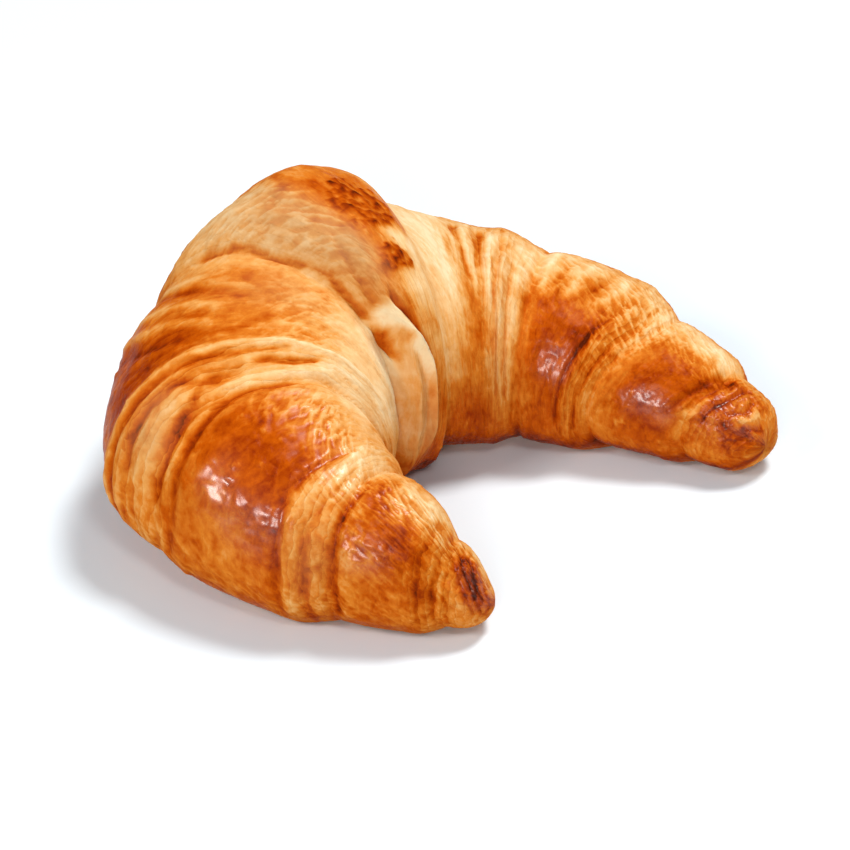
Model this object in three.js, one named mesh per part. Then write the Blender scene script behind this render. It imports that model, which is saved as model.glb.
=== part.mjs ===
// A curved butter croissant: one baked roll of laminated dough, bent into a crescent.
//
// Millimetres, +Z up. The croissant rests on its flat underside at Z = 0. X runs across the two arms, and the
// bay between the arms opens towards -Y. The origin is at the bottom centre of the bounding box.
//
// The roll is one closed surface of two parameters. "along" is the distance in millimetres along the roll's
// centre line, from the middle of its back: negative on the left arm and positive on the right arm. "angle"
// goes round the roll: 0 faces outwards from the bend, 90 degrees is the top and 180 faces the bay.

import * as THREE from "three";

// Driving dimensions of the roll as a whole.
const HALF_LENGTH = 114; // middle of the back to each tip, along the centre line
const BULGE_HEIGHT = 0.42; // height of the widest point, as a share of the roll's height
const UNDERSIDE_DROP = 0.5; // how far the underside would hang below that point before the tray flattens it
const ROUNDNESS = 0.92; // exponent of the section: 1 is an ellipse, and less is fuller
const TIP_CAP = 6; // length over which each end closes

// How sharply the roll bends, in degrees for each 10 mm of its centre line.
const BENDS = [
  { along: -114, turn: 7.7 },
  { along: -82, turn: 11.3 },
  { along: -46, turn: 14.2 },
  { along: 0, turn: 12.1 },
  { along: 46, turn: 8.1 },
  { along: 82, turn: 5.5 },
  { along: 114, turn: 5.3 },
];

// The turns of dough from the left tip to the right tip. Each has its half width on the outer and the inner
// side of the bend, its height, how far it stands proud of its neighbours (lift), and how far its underside
// is off the tray (raise).
const TURNS = [
  { along: -114, outer: 8, inner: 7, height: 9, lift: 0, raise: 2.5 },
  { along: -93, outer: 13.5, inner: 18.5, height: 30, lift: 0, raise: 0.8 },
  { along: -71, outer: 24, inner: 24.5, height: 37.5, lift: 0, raise: 0 },
  { along: -42, outer: 37, inner: 30, height: 49.5, lift: 0.3, raise: 0 },
  { along: -3, outer: 31, inner: 35, height: 66, lift: 2, raise: 0 },
  { along: 34, outer: 31.5, inner: 31, height: 46.5, lift: -1.0, raise: 0 },
  { along: 66, outer: 27, inner: 24, height: 35.5, lift: 0, raise: 0 },
  { along: 91, outer: 16, inner: 17, height: 25.5, lift: 0, raise: 0.9 },
  { along: 114, outer: 7.5, inner: 8, height: 13.5, lift: 0.3, raise: 2.8 },
];

// Where each turn of dough ends over the next one. The cut edge slopes down towards the tip over "flank"
// millimetres into a crease of the given depth. "lean" and "bow" slant and curve the edge round the roll, and
// "innerDepth" is the depth that the crease reaches on the bay's side.
const EDGES = [
  { along: -104, side: -1, flank: 5, depth: 0.8, innerDepth: 1.2, lean: 1.0, bow: 0.5 },
  { along: -83.5, side: -1, flank: 7, depth: 1.4, innerDepth: 2.0, lean: 0.5, bow: -0.5 },
  { along: -54, side: -1, flank: 8, depth: 1.4, innerDepth: 1.8, lean: 2.0, bow: -3.5 },
  { along: -22.5, side: -1, flank: 7, depth: 0.8, innerDepth: 4.5, lean: 1.5, bow: -1.0 },
  { along: 16, side: 1, flank: 6, depth: 1.6, innerDepth: 1.6, lean: -1.0, bow: 0.5 },
  { along: 51, side: 1, flank: 9, depth: 1.8, innerDepth: 1.6, lean: 1.0, bow: 0.0 },
  { along: 78.5, side: 1, flank: 8, depth: 1.8, innerDepth: 1.6, lean: 3.5, bow: -3.0 },
  { along: 100, side: 1, flank: 5, depth: 1.2, innerDepth: 1.0, lean: 1.5, bow: -1.0 },
];
const STEP_WIDTH = 7; // length over which one turn's lift gives way to the next one's
const FLANK_HOLLOW = 1.6; // exponent of the cut edge's slope: 1 is straight, and more is hollow
const CREASE_RISE = 7; // length over which the covered turn rises again out of the crease
const CREASE_SHARPNESS = 1.3; // exponent of that rise: 2 is rounded, and less is sharper
const CREST_WIDTH = 3; // half width of the small crest at the top of each cut edge
const CREST_RISE = 0.5;

// The tucked fold on the bay's side of the back: a lip with a groove below it, running along the roll.
const FOLD = { along: -4, halfLength: 13, angle: 150, slope: 0.7, lip: 2.0, groove: 1.6, width: 9 };

// The proud rim of the last turn of dough, on top of the back.
const RIM = { along: -3, halfLength: 13, angle: 74, halfWidth: 21, rise: 3.2 };

// Crags of the torn ends: waves that run "around" times round the roll and turn by "perLength" radians for each
// millimetre along it, dying away from the tip over the reach.
const CRAG_DEPTH = 0.6;
const CRAG_REACH = 16;
const CRAG_WAVES = [
  { around: 3, perLength: 0.55, phase: 0, share: 1 },
  { around: 5, perLength: -0.9, phase: 1.3, share: 0.7 },
  { around: 8, perLength: 1.3, phase: 2.1, share: 0.5 },
];

// The narrowest that the relief can make a section, as a share of its smooth size.
const NARROWEST = 0.25;

// Resolution of the solid.
const STATIONS = 110;
const AROUND = 52;
const UNDERSIDE_SPARING = 0.35; // how much further apart the vertices stand below than above
const EDGE_CROWDING = 2.2; // how much closer the stations stand at an edge than between edges
const CROWDING_REACH = 0.7; // how far that goes from the crease, as a share of the edge's flank
const CROWDING_SAMPLES = 2000;
const CENTRE_LINE_STEPS = 456;

const radians = THREE.MathUtils.degToRad;

// A smooth curve through the values of rows[i][key] at rows[i].along: cubic Hermite pieces, with the slope at
// each row taken as the harmonic mean of its two neighbours' slopes, so that it never overshoots.
function through(rows, key, along) {
  const last = rows.length - 1;
  const x = THREE.MathUtils.clamp(along, rows[0].along, rows[last].along);
  let i = 0;
  while (i < last - 1 && x > rows[i + 1].along) i++;
  const chord = (j) => (rows[j + 1][key] - rows[j][key]) / (rows[j + 1].along - rows[j].along);
  const slope = (j) => {
    if (j === 0) return chord(0);
    if (j === last) return chord(last - 1);
    const before = chord(j - 1);
    const after = chord(j);
    return before * after <= 0 ? 0 : (2 * before * after) / (before + after);
  };
  const span = rows[i + 1].along - rows[i].along;
  const t = (x - rows[i].along) / span;
  const t2 = t * t;
  const t3 = t2 * t;
  return (
    (2 * t3 - 3 * t2 + 1) * rows[i][key] +
    (t3 - 2 * t2 + t) * span * slope(i) +
    (3 * t2 - 2 * t3) * rows[i + 1][key] +
    (t3 - t2) * span * slope(i + 1)
  );
}

// The centre line in plan, integrated from its bends outwards from the middle of the back, where it runs
// along +X. Each entry is { along, x, y, heading }.
function centreLine() {
  const step = (2 * HALF_LENGTH) / CENTRE_LINE_STEPS;
  const half = CENTRE_LINE_STEPS / 2;
  const points = [];
  points[half] = { along: 0, x: 0, y: 0, heading: 0 };
  for (const way of [1, -1]) {
    for (let i = 1; i <= half; i++) {
      const from = points[half + way * (i - 1)];
      const middle = from.along + (way * step) / 2;
      const turn = (radians(through(BENDS, "turn", middle)) / 10) * step * way;
      const heading = from.heading - turn / 2;
      points[half + way * i] = {
        along: from.along + way * step,
        x: from.x + way * step * Math.cos(heading),
        y: from.y + way * step * Math.sin(heading),
        heading: from.heading - turn,
      };
    }
  }
  return points;
}

const LINE = centreLine();

// The centre line's place and heading at a distance along it.
function lineAt(along) {
  const at = ((along + HALF_LENGTH) / (2 * HALF_LENGTH)) * CENTRE_LINE_STEPS;
  const i = THREE.MathUtils.clamp(Math.floor(at), 0, CENTRE_LINE_STEPS - 1);
  const t = at - i;
  const mix = (key) => THREE.MathUtils.lerp(LINE[i][key], LINE[i + 1][key], t);
  return { x: mix("x"), y: mix("y"), heading: mix("heading") };
}

// How far an edge's crease lies from a point, along the roll: positive on the tip's side of the crease.
function pastEdge(edge, along, angle) {
  const crease = edge.along + edge.lean * Math.cos(angle) + edge.bow * Math.cos(2 * angle);
  return edge.side * (along - crease);
}

// Height of the surface over the smooth roll: the lift of each turn, the crease and crest at each edge, the
// fold, the rim and the crags of the two ends.
function relief(along, angle) {
  const towardsBay = (1 - Math.cos(angle)) / 2;
  let rise = TURNS[0].lift;
  EDGES.forEach((edge, i) => {
    const past = pastEdge(edge, along, angle);
    const share = THREE.MathUtils.smoothstep(edge.side * past, -STEP_WIDTH / 2, STEP_WIDTH / 2);
    rise += (TURNS[i + 1].lift - TURNS[i].lift) * share;
    const depth = THREE.MathUtils.lerp(edge.depth, edge.innerDepth, towardsBay);
    const down = Math.max(0, 1 + past / edge.flank) ** FLANK_HOLLOW;
    const up = Math.exp(-((Math.max(past, 0) / CREASE_RISE) ** CREASE_SHARPNESS));
    rise -= depth * (past < 0 ? down : up);
    rise += CREST_RISE * Math.exp(-(((past + edge.flank) / CREST_WIDTH) ** 2));
  });
  return rise + foldRelief(along, angle) + rimRelief(along, angle) + cragRelief(along, angle);
}

// The fold: a rounded lip, with a groove under it, that fades out at both ends.
function foldRelief(along, angle) {
  const reach = (along - FOLD.along) / FOLD.halfLength;
  const fade = Math.exp(-(reach ** 4));
  const off = THREE.MathUtils.radToDeg(angle) - FOLD.angle - FOLD.slope * (along - FOLD.along);
  const lip = FOLD.lip * Math.exp(-((off / FOLD.width) ** 2));
  const groove = FOLD.groove * Math.exp(-(((off - 2 * FOLD.width) / FOLD.width) ** 2));
  return fade * (lip - groove);
}

// The rim: a rounded swelling that is longer along the roll than round it.
function rimRelief(along, angle) {
  const reach = (along - RIM.along) / RIM.halfLength;
  const off = (THREE.MathUtils.radToDeg(angle) - RIM.angle) / RIM.halfWidth;
  return RIM.rise * Math.exp(-(reach ** 2) - off ** 2);
}

// The crags: waves of different lengths that die away from each tip.
function cragRelief(along, angle) {
  const nearTip = Math.exp(-(((HALF_LENGTH - Math.abs(along)) / CRAG_REACH) ** 2));
  const waves = CRAG_WAVES.reduce(
    (sum, wave) => sum + wave.share * Math.sin(wave.around * angle + wave.perLength * along + wave.phase),
    0,
  );
  return CRAG_DEPTH * nearTip * waves;
}

// A point of the surface. The smooth section is an ellipse-like ring; the relief moves each point away from
// the section's centre, and what would reach below the tray is flattened on it.
function surfacePoint(along, angle) {
  const power = (v) => Math.sign(v) * Math.abs(v) ** ROUNDNESS;
  const height = through(TURNS, "height", along);
  const side = Math.cos(angle) > 0 ? "outer" : "inner";
  const across = through(TURNS, side, along) * power(Math.cos(angle));
  const lift = power(Math.sin(angle));
  const centre = height * BULGE_HEIGHT;
  const above = height * (lift > 0 ? (1 - BULGE_HEIGHT) * lift : UNDERSIDE_DROP * lift);
  const radius = Math.hypot(across, above);
  const toTip = Math.min(1, (HALF_LENGTH - Math.abs(along)) / TIP_CAP);
  const cap = Math.sqrt(1 - (1 - toTip) ** 2);
  const scale = cap * Math.max(NARROWEST, 1 + relief(along, angle) / radius);
  const { x, y, heading } = lineAt(along);
  const z = through(TURNS, "raise", along) + Math.max(0, centre + above * scale);
  return [x - Math.sin(heading) * across * scale, y + Math.cos(heading) * across * scale, z];
}

// Places along the roll where the solid has a ring of vertices, closer together at the edges.
function stationPlaces() {
  const sums = [0];
  const placeOf = (sample) => -HALF_LENGTH + (sample / CROWDING_SAMPLES) * 2 * HALF_LENGTH;
  for (let i = 1; i <= CROWDING_SAMPLES; i++) {
    const along = placeOf(i - 0.5);
    const near = (edge) => Math.exp(-(((along - edge.along) / (CROWDING_REACH * edge.flank)) ** 2));
    const crowd = EDGES.reduce((sum, edge) => sum + near(edge), 0);
    sums.push(sums[i - 1] + 1 + EDGE_CROWDING * crowd);
  }
  const places = [];
  for (let k = 1; k <= STATIONS; k++) {
    const wanted = (k / (STATIONS + 1)) * sums[CROWDING_SAMPLES];
    const i = sums.findIndex((s) => s >= wanted);
    const t = (wanted - sums[i - 1]) / (sums[i] - sums[i - 1]);
    places.push(placeOf(i - 1 + t));
  }
  return places;
}

// The closed surface: rings of vertices joined by triangles, and a fan at each tip.
function croissantGeometry() {
  const places = stationPlaces();
  const positions = [];
  const indices = [];
  for (const along of places) {
    for (let j = 0; j < AROUND; j++) {
      const turn = (2 * Math.PI * j) / AROUND;
      positions.push(...surfacePoint(along, turn + UNDERSIDE_SPARING * Math.cos(turn)));
    }
  }
  const ring = (i, j) => i * AROUND + (j % AROUND);
  for (let i = 0; i < places.length - 1; i++) {
    for (let j = 0; j < AROUND; j++) {
      const [a, b, c, d] = [ring(i, j), ring(i + 1, j), ring(i + 1, j + 1), ring(i, j + 1)];
      indices.push(a, c, b, a, d, c);
    }
  }
  const leftTip = positions.length / 3;
  positions.push(...surfacePoint(-HALF_LENGTH, 0));
  positions.push(...surfacePoint(HALF_LENGTH, 0));
  const lastRing = places.length - 1;
  for (let j = 0; j < AROUND; j++) {
    indices.push(leftTip, ring(0, j + 1), ring(0, j));
    indices.push(leftTip + 1, ring(lastRing, j), ring(lastRing, j + 1));
  }
  const geometry = new THREE.BufferGeometry();
  geometry.setAttribute("position", new THREE.Float32BufferAttribute(positions, 3));
  geometry.setIndex(indices);
  geometry.computeBoundingBox();
  const { min, max } = geometry.boundingBox;
  geometry.translate(-(min.x + max.x) / 2, -(min.y + max.y) / 2, -min.z);
  geometry.computeVertexNormals();
  return geometry;
}

const crust = new THREE.MeshStandardMaterial({ color: 0xd9893b, roughness: 0.45, metalness: 0 });

const croissant = new THREE.Mesh(croissantGeometry(), crust);
croissant.name = "croissant";

const part = new THREE.Group();
part.add(croissant);

export default part;
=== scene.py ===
"""A curved butter croissant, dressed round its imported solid, on a pale floor in soft studio light.

The croissant is one closed surface of two parameters. "along" is the distance in millimetres along the
roll's centre line from the middle of its back, negative on the left arm. "angle" goes round the roll in
radians: 0 faces outwards from the bend, a quarter turn is the top and half a turn faces the bay between the
arms. In the tables of marks the angles are in degrees.
"""

import logging
import math
from dataclasses import dataclass
from enum import Enum
from typing import Any, Sequence

import bpy
import numpy as np
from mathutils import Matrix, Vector


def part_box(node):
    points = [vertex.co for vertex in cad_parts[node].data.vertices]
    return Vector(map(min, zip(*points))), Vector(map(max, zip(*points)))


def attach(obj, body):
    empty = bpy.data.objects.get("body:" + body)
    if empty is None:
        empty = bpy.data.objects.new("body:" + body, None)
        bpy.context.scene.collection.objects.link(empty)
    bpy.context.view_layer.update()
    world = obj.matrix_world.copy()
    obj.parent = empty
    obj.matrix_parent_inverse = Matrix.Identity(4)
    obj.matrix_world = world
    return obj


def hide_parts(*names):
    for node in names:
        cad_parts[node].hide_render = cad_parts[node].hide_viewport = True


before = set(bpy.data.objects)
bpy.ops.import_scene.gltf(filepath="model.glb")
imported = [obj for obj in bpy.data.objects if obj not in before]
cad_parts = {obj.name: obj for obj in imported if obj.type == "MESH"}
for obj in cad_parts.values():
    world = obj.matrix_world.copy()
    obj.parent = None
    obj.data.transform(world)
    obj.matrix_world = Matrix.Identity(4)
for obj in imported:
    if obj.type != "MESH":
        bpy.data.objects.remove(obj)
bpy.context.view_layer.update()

log = logging.getLogger("croissant")

MM = 0.001
Array = np.ndarray


def srgb(red: float, green: float, blue: float) -> tuple[float, float, float, float]:
    """A screen colour, each channel 0 to 255, as the linear colour and alpha that a shader takes."""
    channels = (value / 255 for value in (red, green, blue))
    return (*(v / 12.92 if v <= 0.04045 else ((v + 0.055) / 1.055) ** 2.4 for v in channels), 1.0)


def smoothstep(value: Array, low: float, high: float) -> Array:
    """The cubic 3t^2 - 2t^3 of the value's place t between low and high, held at 0 and 1 outside."""
    t = np.clip((value - low) / (high - low), 0, 1)
    return t * t * (3 - 2 * t)


def ridge(off: Array, width: float | Array) -> Array:
    """The bell exp(-(off / width)^2), which is 1 where "off" is 0."""
    return np.exp(-((off / width) ** 2))


def several(kind: type, *rows: tuple) -> tuple:
    """One object of that kind from each row of its values, in the order of its fields."""
    return tuple(kind(*row) for row in rows)


def through(places: Sequence[float], values: Sequence[float], at: Array) -> Array:
    """A smooth curve through values at places, which never overshoots them.

    It is made of cubic Hermite pieces. The slope at each place is the harmonic mean of the slopes of its two
    neighbouring chords, or zero where they differ in sign, and the slope of the end chord at each end.

    Args:
        places: Where the values are given, in rising order.
        values: The value at each place.
        at: Where the curve is wanted.

    Returns:
        The curve's value at each wanted place.
    """
    x, y = np.asarray(places, float), np.asarray(values, float)
    chord = np.diff(y) / np.diff(x)
    before, after = chord[:-1], chord[1:]
    agree = before * after > 0
    total = np.where(agree, before + after, 1.0)
    inner = np.where(agree, 2 * before * after / total, 0.0)
    slope = np.concatenate([chord[:1], inner, chord[-1:]])
    where = np.clip(at, x[0], x[-1])
    i = np.clip(np.searchsorted(x, where, side="right") - 1, 0, len(x) - 2)
    span = x[i + 1] - x[i]
    t = (where - x[i]) / span
    t2, t3 = t * t, t * t * t
    return (
        (2 * t3 - 3 * t2 + 1) * y[i]
        + (t3 - 2 * t2 + t) * span * slope[i]
        + (3 * t2 - 2 * t3) * y[i + 1]
        + (t3 - t2) * span * slope[i + 1]
    )


class Grain:
    """Smooth random relief in space, the same in every run for the same seed."""

    CELLS = 256
    GAIN = 1.6
    LAYER_SHIFT = 17.3

    def __init__(self, seed: int) -> None:
        """Draws the order of the cells and the slope of each.

        Args:
            seed: Sets which relief it is.
        """
        rng = np.random.default_rng(seed)
        self.order = rng.permutation(self.CELLS)
        slopes = rng.normal(size=(self.CELLS, 3))
        self.slopes = slopes / np.linalg.norm(slopes, axis=1, keepdims=True)

    def one(self, x: Array, y: Array, z: Array) -> Array:
        """One layer of gradient noise.

        Each corner of the unit cell round a point has a random slope. Its value is that slope times the way
        from the corner to the point. The eight values are blended by the fade 6t^5 - 15t^4 + 10t^3 on each
        axis.

        Args:
            x: First coordinate, in cells.
            y: Second coordinate, in cells.
            z: Third coordinate, in cells.

        Returns:
            Values from about -1 to 1.
        """
        x, y, z = np.broadcast_arrays(x, y, z)
        cell = [np.floor(c).astype(int) for c in (x, y, z)]
        part = [c - f for c, f in zip((x, y, z), cell)]
        fade = [p * p * p * (p * (p * 6 - 15) + 10) for p in part]
        wrap = self.CELLS - 1
        total = np.zeros(x.shape)
        for corner in range(8):
            step = [(corner >> k) & 1 for k in range(3)]
            key = 0
            for k in range(3):
                key = self.order[(key + cell[k] + step[k]) & wrap]
            slope = self.slopes[key]
            value = sum(slope[..., k] * (part[k] - step[k]) for k in range(3))
            weight = np.ones(x.shape)
            for k in range(3):
                weight = weight * (fade[k] if step[k] else 1 - fade[k])
            total += weight * value
        return total * self.GAIN

    def many(self, x: Array, y: Array, z: Array, layers: int = 3, keep: float = 0.5) -> Array:
        """Layers of noise, each of twice the frequency and "keep" times the height of the last.

        Args:
            x: First coordinate, in cells of the coarsest layer.
            y: Second coordinate.
            z: Third coordinate.
            layers: How many layers.
            keep: Height of each layer, as a share of the one before.

        Returns:
            Values from about -1 to 1.
        """
        total, height, scale, reach = np.zeros(np.broadcast(x, y, z).shape), 1.0, 1.0, 0.0
        for layer in range(layers):
            shift = self.LAYER_SHIFT * layer
            total = total + height * self.one(x * scale + shift, y * scale + shift, z * scale)
            reach += height
            height *= keep
            scale *= 2.0
        return total / reach


@dataclass(frozen=True)
class Pattern:
    """A random pattern: its seed, the size of its cells in millimetres, its layers and what each layer keeps.

    "turns" is for a pattern that is drawn out round the roll: its cells from the roll's middle to its skin.
    """

    seed: int
    size: float
    layers: int
    keep: float = 0.5
    turns: float = 0.0

    def in_space(self, points: Array) -> Array:
        """The pattern at points in millimetres, from about -1 to 1."""
        x, y, z = (points[..., k] / self.size for k in range(3))
        return Grain(self.seed).many(x, y, z, self.layers, self.keep)

    def round_roll(self, along: Array, cos: Array, sin: Array) -> Array:
        """The pattern at places along the roll and cosines and sines of angles round it, about -1 to 1."""
        return Grain(self.seed).many(
            along / self.size, self.turns * cos, self.turns * sin, self.layers, self.keep
        )


@dataclass(frozen=True)
class Turn:
    """A turn of dough: half widths, height, how proud it stands and how far its underside is off the tray."""

    along: float
    outer: float
    inner: float
    height: float
    lift: float
    raised: float


@dataclass(frozen=True)
class Edge:
    """Where one turn of dough ends over the next, in millimetres.

    "side" is the sign of its arm and "flank" is the length of its cut slope. "depth" is the depth of the
    crease at its foot on the outside, and "inner_depth" on the bay's side. "lean" moves the edge along by
    cos(angle) and "bow" by cos(2 angle).
    """

    along: float
    side: int
    flank: float
    depth: float
    inner_depth: float
    lean: float
    bow: float


@dataclass(frozen=True)
class Patch:
    """A place that is browner (above 0) or paler (below 0) than its surroundings, in millimetres and degrees.

    "slant" is how far along the roll its middle moves for each degree round it.
    """

    along: float
    angle: float
    half_length: float
    half_angle: float
    change: float
    sharpness: float = 2.0
    slant: float = 0.0

    def shade(self, course: Array, degrees: Array) -> Array:
        """The change that the patch makes: it times exp(-|x|^p - y^2), x and y being how far off its middle.

        Args:
            course: Place along the roll, with the slant of the turns taken out.
            degrees: Angle round the roll.

        Returns:
            The change at each point.
        """
        off = (degrees - self.angle + 180) % 360 - 180
        x = np.abs(course - self.along - self.slant * off) / self.half_length
        y = off / self.half_angle
        return self.change * np.exp(-(x**self.sharpness) - y * y)


@dataclass(frozen=True)
class Seam:
    """A line across the crust that follows places along the roll at angles round it.

    "rise" is how high it stands in millimetres, below 0 for a cut, and "change" is how much browner it is. In
    the table the cuts are browner and the ridges paler: partly the crust's own dark and pale lines and partly
    painted shade in the cuts and painted light on the ridges.
    """

    angles: tuple[float, ...]
    places: tuple[float, ...]
    half_width: float
    rise: float
    change: float
    fade: float = 8.0

    def share(self, course: Array, degrees: Array) -> Array:
        """How far each point is on the line: exp(-(off/half_width)^2), fading out at both ends.

        Args:
            course: Place along the roll, with the slant of the turns taken out.
            degrees: Angle round the roll, from -60 to 300.

        Returns:
            From 0 to 1.
        """
        off = course - through(self.angles, self.places, degrees)
        first, last = self.angles[0], self.angles[-1]
        starts = smoothstep(degrees, first, first + self.fade)
        ends = 1 - smoothstep(degrees, last - self.fade, last)
        return starts * ends * ridge(off, self.half_width)


@dataclass(frozen=True)
class Layers:
    """One set of layers over the grid: its height and shadow, both from 0 to about 1.3, and its tone."""

    rise: Array
    shadow: Array
    tone: Array


@dataclass(frozen=True)
class Strata:
    """Thin layers of dough seen on edge, which run round the roll and step down towards the tips.

    "foot" is where in each layer, from 0 to 1, its drop starts.
    """

    spacing: float
    wander: float
    ragged: float
    seed: int
    foot: float

    TONE_STEP, TONE_START, TONE_TURNS = 0.618, 0.31, 1.7
    PROUD_STEP, PROUD_START, PROUD_TURNS = 0.731, 0.17, 2.1
    USUAL_LIFT, UNEVEN_LIFT, MOST_LIFT = 0.45, 0.9, 1.3
    SHADOW_LEAD, SHADOW_SHARE, SHADOW_END = 0.06, 0.4, 0.93

    def relief(self, reach: Array, cos: Array, sin: Array) -> Layers:
        """Splits the surface into layers that rise slowly towards the tip's side and drop at their foot.

        The layers' phase is the reach towards the tip over the spacing, plus slow noise, which makes them run
        together and apart, and fine noise, which frays their edges. A whole number of phases is one layer.
        Each has its own tone and height, which change slowly round the roll.

        Args:
            reach: Place along the roll, rising towards the tip.
            cos: Cosine of the angle round the roll.
            sin: Sine of that angle.

        Returns:
            The layers' height, shadow and tone.
        """
        slow = Pattern(self.seed, 13, 2, turns=1.3).round_roll(reach, cos, sin)
        fray = Pattern(self.seed + 1, 3.5, 3, 0.6, turns=4.2).round_roll(reach, cos, sin)
        phase = reach / self.spacing + self.wander * slow + self.ragged * fray
        number = np.floor(phase)
        toned, turns = number * self.TONE_STEP + self.TONE_START, self.TONE_TURNS
        tone = Grain(self.seed + 2).many(toned, turns * cos, turns * sin, 2)
        raised, turns = number * self.PROUD_STEP + self.PROUD_START, self.PROUD_TURNS
        proud = Grain(self.seed + 3).many(raised, turns * cos, turns * sin, 2)
        part = phase - number
        lift = np.clip(self.USUAL_LIFT + self.UNEVEN_LIFT * proud, 0.0, self.MOST_LIFT)
        rise = lift * part * (1 - smoothstep(part, self.foot, 1.0))
        darkest = self.foot + self.SHADOW_SHARE * (1 - self.foot)
        shadow = lift * smoothstep(part, self.foot - self.SHADOW_LEAD, darkest)
        shadow = shadow * (1 - smoothstep(part, self.SHADOW_END, 1.0))
        return Layers(rise, shadow, tone)


class Skin(Enum):
    """The values that each point of the crust carries for its finish."""

    BAKE = "bake"
    GLAZE = "glaze"
    LAYERS = "layers"
    CRINKLE = "crinkle"
    FLOURY = "floury"
    TOAST = "toast"


@dataclass
class Dough:
    """The rolled dough's form, with the same named sizes as the solid's.

    The bends are in degrees for each 10 mm along the roll.
    """

    half_length: float = 114.0
    bulge_height: float = 0.42
    underside_drop: float = 0.5
    roundness: float = 0.92
    tip_cap: float = 6.0
    bends: tuple[tuple[float, float], ...] = (
        (-114, 7.7), (-82, 11.3), (-46, 14.2), (0, 12.1), (46, 8.1), (82, 5.5), (114, 5.3),
    )
    turns: tuple[Turn, ...] = several(
        Turn,
        (-114, 8, 7, 9, 0, 2.5), (-93, 13.5, 18.5, 30, 0, 0.8), (-71, 24, 24.5, 37.5, 0, 0),
        (-42, 37, 30, 49.5, 0.3, 0), (-3, 31, 35, 66, 2, 0), (34, 31.5, 31, 46.5, -1.0, 0),
        (66, 27, 24, 35.5, 0, 0), (91, 16, 17, 25.5, 0, 0.9), (114, 7.5, 8, 13.5, 0.3, 2.8),
    )
    edges: tuple[Edge, ...] = several(
        Edge,
        (-104, -1, 5, 0.8, 1.2, 1.0, 0.5), (-83.5, -1, 7, 1.4, 2.0, 0.5, -0.5),
        (-54, -1, 8, 1.4, 1.8, 2.0, -3.5), (-22.5, -1, 7, 0.8, 4.5, 1.5, -1.0),
        (16, 1, 6, 1.6, 1.6, -1.0, 0.5), (51, 1, 9, 1.8, 1.6, 1.0, 0.0), (78.5, 1, 8, 1.8, 1.6, 3.5, -3.0),
        (100, 1, 5, 1.2, 1.0, 1.5, -1.0),
    )
    step_width: float = 7.0
    flank_hollow: float = 1.6
    crease_rise: float = 7.0
    crease_sharpness: float = 1.3
    crest_width: float = 3.0
    crest_rise: float = 0.5
    rim_height: float = 3.2
    rim_along: float = -3.0
    rim_half_length: float = 13.0
    rim_angle: float = 74.0
    rim_half_angle: float = 21.0
    bend_span: float = 10.0
    line_points: int = 4561
    least_scale: float = 0.25

    @staticmethod
    def sized(parts: Sequence[Turn | Edge], name: str, along: Array) -> Array:
        """The parts' size of that name at places along the roll, on the smooth curve through the parts."""
        return through([part.along for part in parts], [getattr(part, name) for part in parts], along)

    def line(self, along: Array) -> tuple[Array, Array, Array]:
        """The centre line in plan.

        Its heading is minus the sum of the bends from the middle, and its place is the sum of short steps
        along that heading.

        Args:
            along: Places along the roll.

        Returns:
            X, Y and the heading at each place.
        """
        fine = np.linspace(-self.half_length, self.half_length, self.line_points)
        step = fine[1] - fine[0]
        turn = np.radians(through(*zip(*self.bends), fine)) / self.bend_span
        middle = len(fine) // 2

        def summed(rate: Array) -> Array:
            """The running sum of a rate by the trapezoid rule, zero at the middle."""
            total = np.concatenate([[0], np.cumsum((rate[1:] + rate[:-1]) / 2 * step)])
            return total - total[middle]

        heading = -summed(turn)
        x, y = summed(np.cos(heading)), summed(np.sin(heading))
        return tuple(np.interp(along, fine, values) for values in (x, y, heading))

    def past(self, edge: Edge, along: Array, angle: Array) -> Array:
        """How many millimetres points are past an edge's crease, above 0 on the tip's side."""
        crease = edge.along + edge.lean * np.cos(angle) + edge.bow * np.cos(2 * angle)
        return edge.side * (along - crease)

    def relief(self, along: Array, angle: Array) -> Array:
        """The turns over the smooth roll.

        Each one's lift gives way to the next one's at the edge between them, and each edge has a cut slope, a
        crest at its top and a crease at its foot.

        Args:
            along: Places along the roll.
            angle: Angles round it.

        Returns:
            Height in millimetres.
        """
        bay = (1 - np.cos(angle)) / 2
        rise = np.full(np.broadcast(along, angle).shape, self.turns[0].lift)
        for i, edge in enumerate(self.edges):
            past = self.past(edge, along, angle)
            share = smoothstep(edge.side * past, -self.step_width / 2, self.step_width / 2)
            rise = rise + (self.turns[i + 1].lift - self.turns[i].lift) * share
            depth = edge.depth + (edge.inner_depth - edge.depth) * bay
            down = np.maximum(0, 1 + past / edge.flank) ** self.flank_hollow
            up = np.exp(-((np.maximum(past, 0) / self.crease_rise) ** self.crease_sharpness))
            rise = rise - depth * np.where(past < 0, down, up)
            rise = rise + self.crest_rise * ridge(past + edge.flank, self.crest_width)
        return rise + self.rim(along, angle)

    def rim(self, along: Array, angle: Array) -> Array:
        """The proud rim on top of the back in millimetres: h exp(-x^2 - y^2) along and round the roll."""
        turned = (np.degrees(angle) - self.rim_angle) / self.rim_half_angle
        return self.rim_height * np.exp(-(((along - self.rim_along) / self.rim_half_length) ** 2) - turned**2)

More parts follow.
